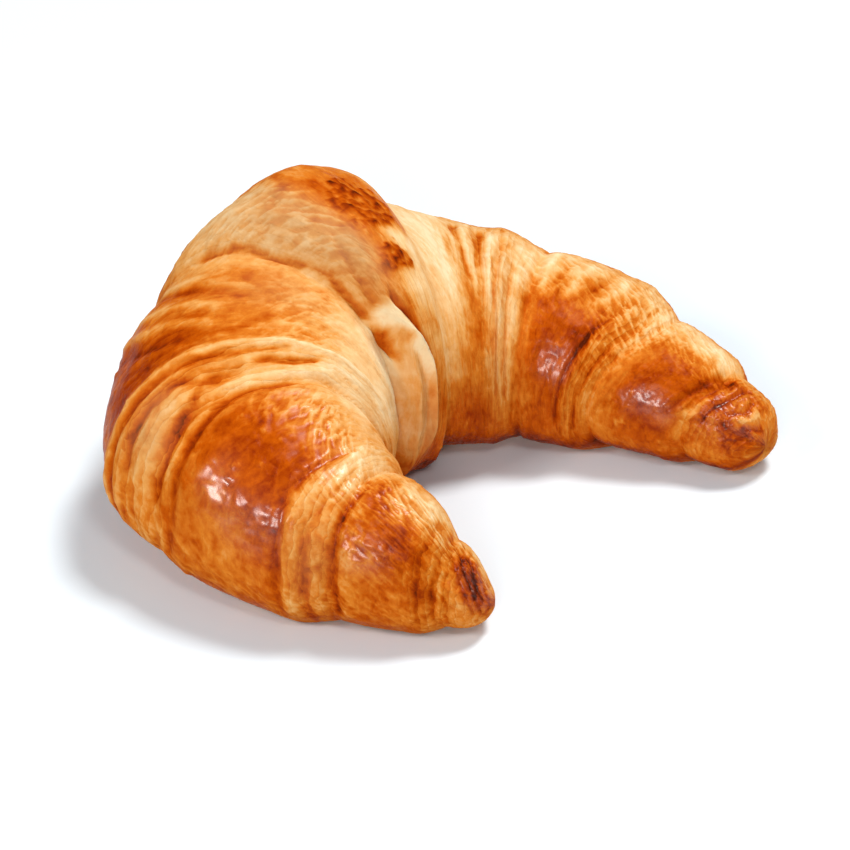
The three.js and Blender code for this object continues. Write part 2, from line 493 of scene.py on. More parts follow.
    def surface(self, along: Array, angle: Array, rise: Array) -> Array:
        """Points of the roll, in millimetres in the centre line's own frame.

        The section is a ring whose half widths and height follow the turns, with cos and sin raised to the
        roundness. "rise" moves each point away from the section's middle, the ends close by a quarter circle
        over the tip's cap, and what would reach below the tray is flattened on it.

        Args:
            along: Places along the roll, as a column.
            angle: Angles round it, as a row.
            rise: Height over the smooth section at each point.

        Returns:
            An array of points, one row for each place along.
        """
        x, y, heading = self.line(along)
        height = self.sized(self.turns, "height", along)
        cos, sin = np.cos(angle), np.sin(angle)
        outer, inner = (self.sized(self.turns, name, along) for name in ("outer", "inner"))
        side = np.where(cos > 0, outer, inner)
        across = side * np.sign(cos) * np.abs(cos) ** self.roundness
        share = np.where(sin > 0, 1 - self.bulge_height, self.underside_drop)
        above = height * share * np.sign(sin) * np.abs(sin) ** self.roundness
        to_tip = np.minimum(1, (self.half_length - np.abs(along)) / self.tip_cap)
        cap = np.sqrt(np.maximum(0, 1 - (1 - to_tip) ** 2))
        scale = cap * np.maximum(self.least_scale, 1 + rise / np.hypot(across, above))
        x = x - np.sin(heading) * across * scale
        y = y + np.cos(heading) * across * scale
        z = np.maximum(0, height * self.bulge_height + above * scale)
        z = self.sized(self.turns, "raised", along) + z
        return np.stack([x, y, z], -1)

    def course(self, along: Array, angle: Array) -> Array:
        """Place along the roll without the edges' lean and bow, so that the turns lie at constant course."""
        lean, bow = (self.sized(self.edges, name, along) for name in ("lean", "bow"))
        return along - lean * np.cos(angle) - bow * np.cos(2 * angle)


@dataclass(frozen=True)
class Tuck:
    """The tucked fold on the bay's side of the back, with its angles in degrees and lengths in millimetres.

    Its lip is an arc that starts at the crease, climbs across the back and turns down towards the tray. The
    lip is a narrow ridge with a shoulder outside it. Behind the lip the fold falls to a crevice beside the
    crease, and a groove runs outside the shoulder. Each of these five has its height and how much browner it
    is. The lip and the shoulder are painted paler as a painted highlight on the fold's rim. The crevice and
    the groove are painted browner as painted shade. The other pairs of numbers say where a smooth step starts
    and ends.
    """

    arc_angles: tuple[float, ...] = (134, 142, 150, 160, 170, 182, 200)
    arc_places: tuple[float, ...] = (-22.5, -20.6, -17, -11.2, -7.4, -5.6, -7.0)
    slope_angles: tuple[float, ...] = (134, 150, 165, 200)
    slopes: tuple[float, ...] = (0.62, 0.68, 0.95, 1.0)
    start: tuple[float, float] = (132, 140)
    end: tuple[float, float] = (190, 208)
    upper_end: tuple[float, float] = (164, 176)
    inner_width: float = 1.0
    outer_width: float = 1.8
    shoulder_start: tuple[float, float] = (-0.6, 0.8)
    shoulder_end: tuple[float, float] = (3.0, 4.4)
    widening: float = 2.4
    widens: tuple[float, float] = (149, 157)
    behind_lip: tuple[float, float] = (0.4, 3.0)
    past_crease: tuple[float, float] = (-23.5, -20.5)
    crevice_place: float = -21.1
    crevice_angle: float = 147
    crevice_slant: float = 0.10
    crevice_half_width: float = 0.8
    crevice_half_angle: float = 10.5
    crevice_lip: tuple[float, float] = (0.0, 0.8)
    groove_off: float = 4.9
    groove_width: float = 1.4
    # Height and change of brownness of each part. The paler lip and shoulder are a painted highlight, and the
    # browner crevice and groove are painted shade.
    lip: tuple[float, float] = (1.7, -0.10)
    shoulder: tuple[float, float] = (0.6, -0.44)
    behind: tuple[float, float] = (-1.0, -0.13)
    crevice: tuple[float, float] = (-2.0, 0.50)
    groove: tuple[float, float] = (-1.1, 0.24)

    def relief(self, course: Array, degrees: Array) -> tuple[Array, Array]:
        """The fold's height and how much browner it is, with its painted highlight and painted shade.

        Args:
            course: Place along the roll, with the slant of the turns taken out.
            degrees: Angle round the roll.

        Returns:
            Height in millimetres and change of brownness.
        """
        arc = through(self.arc_angles, self.arc_places, degrees)
        off = (course - arc) * through(self.slope_angles, self.slopes, degrees)
        fade = smoothstep(degrees, *self.start) * (1 - smoothstep(degrees, *self.end))
        upper = fade * (1 - smoothstep(degrees, *self.upper_end))
        lip = fade * ridge(off, np.where(off < 0, self.inner_width, self.outer_width))
        wider = self.widening * smoothstep(degrees, *self.widens)
        shoulder = upper * smoothstep(off, *(place - wider for place in self.shoulder_start))
        shoulder = shoulder * (1 - smoothstep(off, *self.shoulder_end))
        behind = fade * smoothstep(-off, *self.behind_lip) * smoothstep(course, *self.past_crease)
        turned = degrees - self.crevice_angle
        slit = (course - self.crevice_place - self.crevice_slant * turned) / self.crevice_half_width
        crevice = np.exp(-(slit**4) - (turned / self.crevice_half_angle) ** 4)
        crevice = crevice * smoothstep(-off, *self.crevice_lip)
        groove = upper * ridge(off - self.groove_off, self.groove_width)
        sizes = (self.lip, self.shoulder, self.behind, self.crevice, self.groove)
        shares = (lip, shoulder, behind, crevice, groove)
        height = sum(size[0] * share for size, share in zip(sizes, shares))
        # brown holds the painted highlight on the lip and shoulder and the painted shade in the crevice and
        # groove.
        brown = sum(size[1] * share for size, share in zip(sizes, shares))
        return height, brown


@dataclass(frozen=True)
class Surface:
    """The crust's grid: its points in millimetres, the course of each and the skin's values there."""

    points: Array
    course: Array
    skin: dict[Skin, Array]


class Ground:
    """The bare roll at every point of the grid, with the random patterns that its crust follows."""

    STRANDS = Pattern(3, 3.2, 3, 0.6, turns=2.2)
    LUMPS = Pattern(7, 24, 2)
    SWELL = Pattern(11, 9, 2)
    PIMPLES = Pattern(13, 2.6, 2, 0.6)
    CRUMBLE = Pattern(17, 2.0, 2, 0.65)
    BLOTCH = Pattern(19, 10, 3, 0.6)
    WRINKLES = Pattern(23, 5, 3, 0.62, turns=3.2)
    WRINKLE_WIDTH = 0.07
    FOLD_SEED, FOLD_SIZE, FOLD_DEGREES, FOLD_WIDTH = 37, 3.4, 17, 0.11
    FOLD_SLANT, FOLD_SWAY, FOLD_DEPTH = 0.35, 0.8, 0.4
    WAVE_SWELL, WAVE_STRANDS, SWAY_LUMPS, SWAY_SWELL = 1.3, 0.5, 7, 4
    CLEAR_OF_TRAY = (1.0, 9.0)
    MIDDLE = -3.0
    UNDERSIDE = -60.0

    def __init__(self, dough: Dough, along: Array, angle: Array) -> None:
        """Works out the roll's form and the patterns on it.

        Args:
            dough: The roll.
            along: Places along it, as a column.
            angle: Angles round it, as a row.
        """
        cos, sin = np.cos(angle), np.sin(angle)
        self.along, self.angle, self.cos, self.sin = along, angle, cos, sin
        self.degrees = (np.degrees(angle) - self.UNDERSIDE) % 360 + self.UNDERSIDE
        self.course = course = dough.course(along, angle)
        self.reach = np.abs(course - self.MIDDLE)
        self.form = dough.relief(along, angle)
        points = dough.surface(along, angle, self.form)
        self.clear = smoothstep(points[..., 2], *self.CLEAR_OF_TRAY)
        self.strands = self.STRANDS.round_roll(course, cos, sin)
        self.lumps = self.LUMPS.in_space(points)
        self.swell = self.SWELL.in_space(points)
        self.pimples = self.PIMPLES.in_space(points)
        self.crumble = self.CRUMBLE.in_space(points)
        self.blotch = self.BLOTCH.in_space(points)
        self.wrinkles = ridge(self.WRINKLES.round_roll(course, cos, sin), self.WRINKLE_WIDTH)
        slanting = course - self.FOLD_SLANT * (self.degrees - 90) + self.FOLD_SWAY * self.swell
        turned, depth = self.degrees / self.FOLD_DEGREES, self.FOLD_DEPTH * self.swell
        folds = Grain(self.FOLD_SEED).many(slanting / self.FOLD_SIZE, turned, depth, 3, 0.6)
        self.folds = ridge(folds, self.FOLD_WIDTH)

    def spread(self, patches: Sequence[Patch]) -> Array:
        """The sum of patches, with uneven outlines."""
        wavy = self.course + self.WAVE_SWELL * self.swell + self.WAVE_STRANDS * self.strands
        turned = self.degrees + self.SWAY_LUMPS * self.lumps + self.SWAY_SWELL * self.swell
        return sum(patch.shade(wavy, turned) for patch in patches)

    def share(self, patches: Sequence[Patch]) -> Array:
        """The sum of patches, held between 0 and 1."""
        return np.clip(self.spread(patches), 0, 1)


@dataclass(frozen=True)
class Heights:
    """How high each kind of fine relief stands, in millimetres."""

    lumps: float = 0.9
    swell: float = 0.35
    glazed_swell: float = 0.25
    soft_layers: float = 0.6
    folds: float = 0.40
    strands: float = 0.10
    wrinkles: float = 0.12
    blisters: float = 0.35
    pimples: float = 0.10
    crinkled_pimples: float = 0.34
    crinkled_crumble: float = 0.16
    broad_layers: float = 1.3
    thin_layers: float = 0.4
    layers_sink: float = 0.4
    toast_crumble: float = 0.9
    toast: float = 0.3
    crease: float = 0.5
    tip_swell: float = 0.8
    tip_crumble: float = 0.45


@dataclass(frozen=True)
class Browns:
    """How much each kind of place browns or pales the crust, and the usual share of those that do both.

    The sunk creases, wrinkles and layers' drops come out browner. The raised layers' tops, folds and blisters
    come out paler. This is partly the crust's own tone and partly painted shade in the hollows and painted
    light on the raised parts.
    """

    blotch: float = 0.10
    glazed_blotch: float = 0.06
    broad_layers: float = 0.12
    usual_broad: float = 0.25
    tone: float = 0.18
    thin_tone: float = 0.12
    shadow: float = 0.28
    usual_shadow: float = 0.1
    thin_shadow: float = 0.14
    usual_thin_shadow: float = 0.2
    strands: float = 0.05
    crease: float = 0.06
    wrinkles: float = 0.05
    usual_wrinkles: float = 0.2
    blisters: float = 0.14
    soft_shadow: float = 0.10
    folds: float = 0.30
    usual_folds: float = 0.35
    scorch: float = 0.07
    toast: float = 0.75
    crumble: float = 0.44
    least_crumble: float = -0.45
    most_crumble: float = 0.5


@dataclass(frozen=True)
class Marks:
    """What rolling and baking did at each point of the grid, as shares from 0 to 1 unless told otherwise.

    "line_rise" is the seams' height in millimetres and "line_change" is how much browner they are.
    """

    flaky: Array
    crinkle: Array
    floury: Array
    wrinkled: Array
    toast: Array
    scorch: Array
    glaze: Array
    blisters: Array
    crease: Array
    line_rise: Array
    line_change: Array
    broad: Layers
    thin: Layers
    soft: Layers


@dataclass
class Crust:
    """The baked skin of the roll: its fine relief, and how brown, glossy and flaky each place is.

    A pair of numbers says where a smooth step starts and ends.
    """

    dough: Dough
    stations: int = 470
    around: int = 208
    underside_sparing: float = 0.42
    tip_crowding: float = 2.5
    fine_places: int = 8001
    base_bake: float = 0.50
    darkest: float = 1.1
    tuck: Tuck = Tuck()
    heights: Heights = Heights()
    browns: Browns = Browns()
    broad: Strata = Strata(4.6, 1.5, 0.14, 31, 0.78)
    thin: Strata = Strata(2.3, 1.8, 0.16, 41, 0.58)
    soft: Strata = Strata(7.0, 1.4, 0.10, 53, 0.70)
    toast_fray: float = 1.2
    toast_sway: float = 3.0
    toast_crumble: float = 0.2
    toast_range: tuple[float, float] = (0.42, 0.62)
    scorch_range: tuple[float, float] = (0.10, 0.36)
    scorch_glaze: float = 0.8
    glaze_range: tuple[float, float] = (0.60, 0.72)
    glaze_blotch: float = 0.08
    flaky_dull: float = 0.7
    blister_range: tuple[float, float] = (0.34, 0.56)
    fray_swell: float = 0.45
    fray_strands: float = 0.35
    seam_sway: float = 3.0
    seam_share: float = 0.75
    seam_blotch: float = 0.5
    crease_fray: float = 0.6
    crease_width: float = 0.9
    torn_tips: tuple[float, float] = (100, 109)
    tray_detail: float = 0.25
    map_unit: float = 10.0
    tip_turn: float = 90.0
    closing_turn: float = 200.0
    patches: tuple[Patch, ...] = several(
        Patch,
        # Left arm, from the tip.
        # (-109, 122): paler bay side of the tip, partly pale dough and partly painted light where it faces
        # the key light.
        (-110.9, 50, 4.7, 46, 0.32, 4, 0.09), (-109, 122, 8, 24, -0.12), (-104, 20, 3.5, 60, 0.10),
        (-97, 42, 3.5, 30, 0.16, 3), (-91.5, 56, 6.5, 26, 0.16, 4, 0.08), (-92.5, 5, 8.5, 42, 0.14, 4),
        (-87, 88, 3.2, 18, 0.16, 4, 0.1), (-87, 92, 6, 14, 0.21), (-84, 122, 5, 14, -0.10),
        # (-77.5, 104), (-97, 104) and (-81.5, 94) below: paler tops near the tip, partly pale dough and
        # partly painted light and painted highlight.
        (-42.5, 111, 4.5, 10, 0.07), (-77.5, 104, 3.6, 18, -0.16), (-97, 104, 8, 26, -0.26),
        (-81.5, 94, 5.5, 32, -0.24, 4), (-79.5, 20, 4.5, 60, 0.08, 4), (-73.2, 28, 2.6, 44, 0.15),
        (-66, 64, 9.2, 26, 0.28, 6), (-65.5, 6, 9.5, 40, 0.12, 6), (-70, 98, 6, 9, 0.06, 4),
        # (-66, 132) and (-56, 138): paler bay side, partly pale dough and partly painted light and painted
        # highlight.
        (-66, 132, 11, 30, -0.16, 4), (-56, 138, 5, 18, -0.26, 3), (-49, 106, 4.5, 28, -0.18, 4),
        (-46, 20, 4.0, 40, 0.06, 4), (-52, 12, 3.5, 40, 0.05, 4), (-37, 26, 8.5, 44, 0.25, 4),
        # (-37, 134): paler bay side, partly pale dough and partly painted light where it faces the key light.
        (-40, 52, 4.5, 26, 0.12, 3), (-39, 80, 10, 24, 0.07, 4, -0.1), (-37, 134, 13, 30, -0.24, 4),
        # (-45, 156) and (-26.5, 154): paler where the tuck shades the bay side: painted light against that
        # shade.
        (-36, 166, 9, 16, -0.14, 4), (-45, 156, 8, 18, -0.22), (-26.5, 154, 6.5, 22, -0.34, 4),
        # (-22.6, 98): paler along the crease: painted light against the shade in it.
        (-22.6, 98, 2.6, 34, -0.14),
        # The back.
        (-16, 92, 6.5, 40, -0.08, 4), (-17, 58, 7, 18, -0.22), (-4, 77, 9, 9, 0.06, 4),
        (-9, 82, 2.6, 4, 0.24), (-13, 98, 1.2, 2.2, 0.30), (-10.5, 106, 1.0, 2.0, 0.26),
        # (6, 140): pale patch beside the small toast: a painted highlight.
        (-5, 88, 2.0, 3, 0.20), (2, -8, 20, 46, 0.18), (6, 140, 11, 8, -0.28, 4), (8, 117, 7, 4, -0.30, 4),
        (7, 126, 6, 10, -0.28), (15, 158, 6, 12, -0.12), (-14, 50, 6, 12, -0.07), (-11, 128, 5, 9, 0.10),
        # (-14, 206): paler below the tuck: painted light against the shade there.
        (-8, 145, 7, 4, 0.08), (0, 156, 9, 7, -0.12), (7, 186, 9, 22, 0.14, 4), (-14, 206, 9, 12, -0.10),
        # Right arm, towards the tip.
        (23, 94, 8.5, 36, -0.40, 4), (35, 138, 4.5, 20, 0.14, 3), (29.5, 98, 1.6, 14, 0.34),
        (30, 182, 13, 26, 0.20, 4), (43.5, 108, 6.0, 40, -0.18, 4), (33.5, 88, 5.0, 18, -0.12),
        # (30, 66): paler top, partly pale dough and partly painted light where it faces the key light.
        (30, 66, 12, 12, -0.14), (27, 124, 4.6, 26, -0.18, 3), (20.5, 158, 6, 16, -0.16, 4),
        # (50.5, 78): paler top, partly pale dough and partly painted light where it faces the key light.
        (46, 198, 7, 14, 0.10), (50.5, 78, 5, 24, -0.15, 4), (70.5, 112, 4, 30, 0.09, 4),
        (78, 104, 3.0, 17, -0.12, 4), (78, 178, 3.4, 18, -0.10), (83.5, 126, 2.6, 36, -0.09),
        # (73.5, 54) and (40, 69): paler top, partly pale dough and partly painted light where it faces the
        # key light.
        (84, 74, 5, 11, 0.22), (42, 171, 4, 12, -0.09), (73.5, 54, 5, 13, -0.16), (40, 69, 8, 10, -0.09),
        (63.5, 85, 4, 9, 0.11), (96, 180, 6, 19, 0.18), (104, 118, 4.6, 16, 0.20), (99, 104, 3.8, 14, 0.13),
        # (60, 70): paler top, partly pale dough and partly painted light where it faces the key light.
        (61.5, 126, 10.0, 34, 0.25, 4, 0.06), (61, 172, 9.5, 40, 0.16, 4), (60, 70, 13, 22, -0.24, 4),
        (73.5, 140, 4.0, 36, 0.05, 4, -0.05), (75, 180, 6, 24, 0.14), (90, 122, 8.5, 35, 0.22, 4, 0.04),
        # (89, 70): paler top, partly pale dough and partly painted light where it faces the key light.
        (89, 166, 9.5, 36, 0.18, 4), (89, 70, 13, 20, -0.46, 4), (100, 84, 2.4, 7, 0.35),
        (105, 140, 7, 50, 0.16), (102, 78, 5, 14, 0.22), (113, 146, 4.2, 50, 0.28, 3),
        (76, 15, 40, 45, 0.10, 6),
        # Low on both sides, where the roll meets the tray.
        (30, 218, 140, 17, 0.34, 8), (0, -36, 130, 18, 0.14, 8),
    )
    flaky: tuple[Patch, ...] = several(
        Patch,
        (-113, 50, 5, 130, 0.6, 4), (-103, 40, 5.5, 130, 0.6, 4), (-80, 60, 5.5, 160, 0.55, 6),
        (-50.5, 60, 6.5, 160, 0.6, 6), (-36, 52, 7, 22, 0.35, 4), (-20, 80, 3, 60, 0.3),
        (36, 88, 9, 34, 0.6, 4), (43, 130, 5.5, 70, 0.5, 4), (74, 130, 5.5, 120, 0.55, 4, -0.04),
        (103, 110, 5, 120, 0.55, 4), (112.5, 110, 4, 120, 0.6), (43, 0, 6, 50, 0.4, 4),
        (73, 0, 6, 50, 0.5, 4), (17, 10, 4, 60, 0.3, 4), (-21, 10, 4, 50, 0.3, 4),
    )
    floury: tuple[Patch, ...] = several(
        Patch,
        (-15, 88, 6.5, 36, 0.9, 4), (-12, 118, 6, 14, 0.6, 3), (-8, 190, 9, 16, 0.6, 4),
        (-30, 96, 6, 18, 0.35, 3), (-80, 20, 3, 30, 0.3, 3), (-50.5, 40, 3, 14, 0.6, 3),
        (44, 130, 4, 40, 0.35, 3),
    )
    wrinkled: tuple[Patch, ...] = several(
        Patch,
        (-107, 84, 6, 30, 0.6, 4), (-94, 88, 9, 26, 1.0, 4), (-91, 34, 8, 24, 0.5, 4),
        (-80, 84, 6, 30, 0.7, 4), (-67, 104, 10, 16, 1.0, 4), (-60, 82, 4, 8, 0.6, 4),
        (-36, 106, 12, 18, 0.6, 4), (-15, 94, 7, 38, 0.9, 4), (24, 100, 9, 44, 0.4, 4),
        (42, 110, 9, 60, 0.25, 4), (58, 84, 12, 24, 0.55, 4), (74, 100, 7, 50, 0.8, 4),
        (90, 86, 11, 26, 0.65, 4), (106, 120, 8, 60, 0.30, 4), (60, 16, 50, 40, 0.6, 8),
        (-4, 24, 20, 44, 0.5, 4), (-60, -14, 44, 22, 0.4, 8),
    )
    crinkled: tuple[Patch, ...] = several(
        Patch,
        (-70.8, 34, 5.2, 15, 1.0, 4), (-63.8, 41, 2.8, 13, 1.0, 4), (-66, 100, 9, 12, 0.18, 4),
        (-89.5, 32, 4.6, 13, 0.6, 4), (-95, 88, 8, 20, 0.25, 4), (-110.0, 48, 3.6, 34, 0.3, 4),
        (-79, 88, 6, 26, 0.25, 4), (63.0, 148, 5.6, 11.5, 1.0, 4), (92.5, 154, 5.0, 10, 1.0, 4),
        (108, 122, 6, 36, 0.35, 4),
    )
    lumps: tuple[Patch, ...] = several(
        Patch,
        (-108, 76, 2.2, 26, 1.3), (-111.5, 70, 1.2, 30, -0.9), (113.2, 146, 2.2, 15, -1.8),
        (98.7, 85, 1.5, 8, -1.4), (-50, 70, 2.4, 10, -0.9),
    )
    # Cuts are drawn browner and ridges paler: partly the crust's own lines, partly painted shade and painted
    # light.
    seams: tuple[Seam, ...] = several(
        Seam,
        # The torn plies at the left tip.
        ((-30, 20, 60, 110), (-100.4, -99.6, -99.8, -101.0), 0.6, -0.6, 0.18),
        ((-20, 30, 70, 110), (-103.0, -102.4, -102.8, -103.6), 0.5, -0.6, 0.20),
        ((-4, 13, 29, 50, 67, 92), (-113.0, -112.0, -110.8, -109.0, -107.0, -105.2), 0.6, -1.0, 0.17),
        ((2, 15, 31, 45, 67, 92), (-114.0, -113.6, -112.6, -111.0, -109.1, -107.6), 0.6, -1.0, 0.19),
        ((20, 40, 58, 80, 96), (-113.4, -112.2, -110.8, -109.0, -108.0), 0.5, 0.6, -0.14),
        ((44, 62, 80, 100), (-113.8, -112.6, -111.0, -110.2), 0.8, 0.8, -0.30),
        ((0, 17, 34, 57, 80), (-111.2, -109.9, -108.2, -106.0, -104.4), 0.5, -0.5, 0.12),
        ((-20, 30, 70, 110), (-104.4, -103.9, -104.1, -105.0), 0.6, 0.5, -0.16),
        # The glossy patch's sharp end on the left arm, and the ends of the plies beyond it.
        ((-40, 0, 40, 80, 110), (-75.8, -75.4, -75.0, -75.8, -77.5), 0.8, -0.9, 0.28),
        ((-40, 0, 30, 60), (-80.4, -79.6, -79.2, -80.5), 0.6, -0.7, 0.28),
        ((-40, 0, 30, 75), (-78.0, -77.4, -77.0, -78.4), 1.1, 0.4, -0.12),
        ((-30, 0, 30, 66), (-82.8, -82.0, -81.8, -83.0), 1.0, 0.3, -0.10),
        ((-30, 10, 40, 90), (-85.0, -84.2, -83.8, -84.8), 0.7, -0.9, 0.32),
        ((-30, 10, 40), (-87.2, -86.4, -86.8), 0.9, 0.4, -0.08),
        # The cut edge over it: its pale crest, the slits in it and the flakes that stand in front.
        ((-20, 20, 60, 100, 145), (-45.2, -45.0, -44.8, -45.6, -44.8), 0.8, 0.7, -0.30),
        ((-20, 20, 60, 100), (-46.8, -46.4, -46.4, -47.4), 0.6, -0.9, 0.28),
        ((-10, 30, 62), (-47.8, -47.6, -48.0), 0.9, 0.6, -0.16),
        ((12, 35, 56, 70), (-49.4, -48.4, -48.4, -50.6), 0.6, -1.1, 0.38),
        ((6, 30, 50, 68), (-54.2, -54.4, -53.8, -51.6), 0.7, -1.1, 0.38),
        ((8, 28, 48, 64), (-51.6, -51.6, -51.4, -51.2), 1.7, 0.9, -0.22),
        ((-20, 10, 40), (-51.4, -50.4, -50.6), 0.8, -0.5, 0.12),
        ((66, 74, 84), (-49.8, -50.6, -50.0), 1.6, -1.0, 0.26, 5),
        ((84, 98, 114), (-49.2, -50.0, -48.8), 0.8, -1.2, 0.50, 5),
        ((68, 84, 100, 122), (-53.0, -53.4, -53.0, -51.4), 1.2, 1.1, -0.30),
        ((100, 120, 142), (-50.0, -49.6, -48.6), 1.0, 0.6, -0.20),
        ((-20, 20, 50, 80, 104), (-56.4, -57.4, -57.2, -55.4, -55.2), 0.7, -0.9, 0.34),
        # Slanting streaks over the brown turn.
        ((16, 48, 78), (-29.2, -35.4, -40.0), 1.1, 0.6, -0.36),
        ((18, 44, 74), (-33.0, -38.2, -43.0), 0.8, -0.5, 0.18),
        ((18, 52, 80), (-26.6, -32.4, -36.4), 1.2, 0.6, -0.36),
        ((30, 60, 88), (-25.6, -30.2, -34.0), 0.8, -0.6, 0.22),
        ((34, 60, 90), (-24.8, -28.0, -31.6), 1.0, 0.4, -0.20),
        ((30, 60, 84), (-37.4, -41.4, -43.6), 0.9, 0.3, -0.12),
        # Ragged crack along the edge of the back.
        ((50, 75, 90, 105, 120, 142), (-22.2, -21.6, -22.2, -21.4, -22.0, -21.2), 0.5, -0.9, 0.46),
        # A fold in the back's skin, beside the tuck, and soft folds over the back.
        ((102, 108, 120, 137), (-11.4, -15.4, -18.4, -19.6), 0.8, -0.9, 0.20, 5),
        ((104, 114, 130), (-9.6, -13.0, -16.0), 1.8, 0.8, -0.06, 5),
        ((126, 134, 142), (-8.6, -12.4, -17.0), 1.0, -0.5, 0.14, 4),
        ((66, 82, 100), (-15.0, -13.6, -12.4), 1.2, -0.5, 0.06),
        ((66, 84, 104), (-11.8, -10.2, -9.0), 1.4, 0.4, -0.06),
        ((72, 90, 108), (-18.6, -17.4, -16.4), 1.2, -0.4, 0.05),
        # Streaks in the pale top of the right arm.
        ((66, 80, 98, 118), (33.0, 32.2, 33.0, 34.6), 0.9, -0.9, 0.46),
        ((66, 84, 106), (38.0, 37.2, 36.4), 0.9, -0.9, 0.46),
        ((60, 80, 100, 124), (35.4, 34.6, 34.8, 35.8), 1.2, 0.6, -0.26),
        ((66, 84, 106, 130), (40.4, 40.0, 39.4, 39.8), 1.1, 0.5, -0.26),
        ((70, 92, 120, 150, 178), (42.6, 42.0, 41.2, 41.8, 42.4), 0.7, -0.8, 0.22),
        ((86, 120, 150, 176), (43.4, 42.8, 43.4, 44.0), 0.9, 0.5, -0.08),
        ((90, 120, 150, 180), (45.6, 44.8, 45.2, 45.8), 0.7, -0.8, 0.20),
        ((86, 120, 150, 180), (47.8, 47.2, 47.4, 47.6), 0.9, 0.5, -0.08),
        ((70, 100, 130, 170, 200), (50.4, 50.0, 50.2, 49.2, 48.8), 0.8, -0.7, 0.14),
        ((60, 84, 104), (54.0, 53.4, 53.0), 0.8, 0.4, -0.22),
        ((60, 82, 100), (57.4, 56.6, 56.0), 0.7, -0.5, 0.18),
        ((62, 84, 106), (60.6, 60.0, 59.4), 0.9, 0.5, -0.24),
        ((60, 80, 98), (64.6, 64.0, 63.4), 0.7, -0.5, 0.18),
        ((62, 84, 108), (67.4, 66.8, 66.2), 0.9, 0.5, -0.20),
        # Slanting plies between the right arm's two glossy patches.
        ((80, 110, 150, 190), (70.6, 69.8, 68.4, 66.2), 0.7, -0.8, 0.24),
        ((80, 110, 150, 190), (73.2, 72.6, 71.2, 69.0), 1.1, 0.7, -0.10),
        ((84, 120, 160, 195), (76.0, 75.6, 74.6, 72.8), 0.7, -0.7, 0.24),
        ((120, 150, 185), (100.8, 100.4, 99.4), 1.1, 0.7, -0.26),
        ((80, 120, 160), (98.2, 97.8, 97.0), 0.7, -0.8, 0.26),
        ((70, 110, 160), (104.6, 104.2, 103.4), 0.6, -0.7, 0.24),
        ((80, 104, 124, 150), (107.0, 108.6, 107.4, 109.0), 0.7, -0.9, 0.28),
        ((84, 106, 128), (109.2, 110.6, 109.4), 0.9, 0.9, -0.34),
        ((88, 108, 130), (111.4, 112.2, 111.6), 0.6, -0.9, 0.30),
    )
    toasted: tuple[Patch, ...] = several(
        Patch,
        (2.0, 102.0, 10.5, 14.5, 1.0, 2.4), (-1, 127.5, 9.0, 5.6, 1.0, 4),
    )

    def places(self) -> Array:
        """Places along the roll for the rings, closer together near the tips, where the surface turns in.

        Returns:
            Millimetres, from just inside one tip to just inside the other.
        """
        half = self.dough.half_length
        fine = np.linspace(-half, half, self.fine_places)
        crowd = 1 + self.tip_crowding * ridge(half - np.abs(fine), self.dough.tip_cap)
        total = np.concatenate([[0], np.cumsum((crowd[1:] + crowd[:-1]) / 2)])
        wanted = np.linspace(0, total[-1], self.stations + 2)[1:-1]
        return np.interp(wanted, total, fine)

    def angles(self) -> Array:
        """Angles round the roll in radians, from the middle of the underside and closer together on top."""
        turn = np.linspace(0, 2 * np.pi, self.around, endpoint=False) - np.pi / 2
        return turn + self.underside_sparing * np.cos(turn)

    def lines(self, ground: Ground) -> tuple[Array, Array]:
        """The seams over the grid.

        Args:
            ground: The bare roll.

        Returns:
            Their height in millimetres and how much browner they are.
        """
        rise, change = np.zeros(ground.course.shape), np.zeros(ground.course.shape)
        frayed = ground.course + self.fray_swell * ground.swell + self.fray_strands * ground.strands
        turned = ground.degrees + self.seam_sway * ground.swell
        for seam in self.seams:
            share = seam.share(frayed, turned) * (self.seam_share + self.seam_blotch * ground.blotch)
            rise += seam.rise * share
            change += seam.change * share
        return rise, change

    def creases(self, ground: Ground) -> Array:
        """How near each point is to the foot of an edge, from 0 to 1."""
        past = (self.dough.past(edge, ground.along, ground.angle) for edge in self.dough.edges)
        frayed = (place + self.crease_fray * ground.strands for place in past)
        return np.maximum.reduce([ridge(place, self.crease_width) for place in frayed])

    def marks(self, ground: Ground, bake: Array) -> Marks:
        """The marks of rolling and baking.

        Args:
            ground: The bare roll.
            bake: How brown each place is without them.

        Returns:
            The marks at each point.
        """
        crumble, degrees = ground.crumble, ground.degrees
        loose = ground.course + self.toast_fray * crumble
        ready = sum(patch.shade(loose, degrees + self.toast_sway * crumble) for patch in self.toasted)
        toast = smoothstep(ready + self.toast_crumble * crumble, *self.toast_range)
        scorch = smoothstep(ready, *self.scorch_range) * (1 - toast)
        flaky = ground.share(self.flaky)
        baked = smoothstep(bake + self.glaze_blotch * ground.blotch, *self.glaze_range)
        glaze = baked * (1 - toast) * (1 - self.flaky_dull * flaky)
        rise, change = self.lines(ground)
        return Marks(
            flaky=flaky,
            crinkle=ground.share(self.crinkled),
            floury=ground.share(self.floury),
            wrinkled=ground.share(self.wrinkled),
            toast=toast,
            scorch=scorch,
            glaze=np.maximum(glaze, self.scorch_glaze * scorch),
            blisters=smoothstep(ground.pimples, *self.blister_range),
            crease=self.creases(ground),
            line_rise=rise,
            line_change=change,
            broad=self.broad.relief(ground.reach, ground.cos, ground.sin),
            thin=self.thin.relief(ground.reach, ground.cos, ground.sin),
            soft=self.soft.relief(ground.reach, ground.cos, ground.sin),
        )

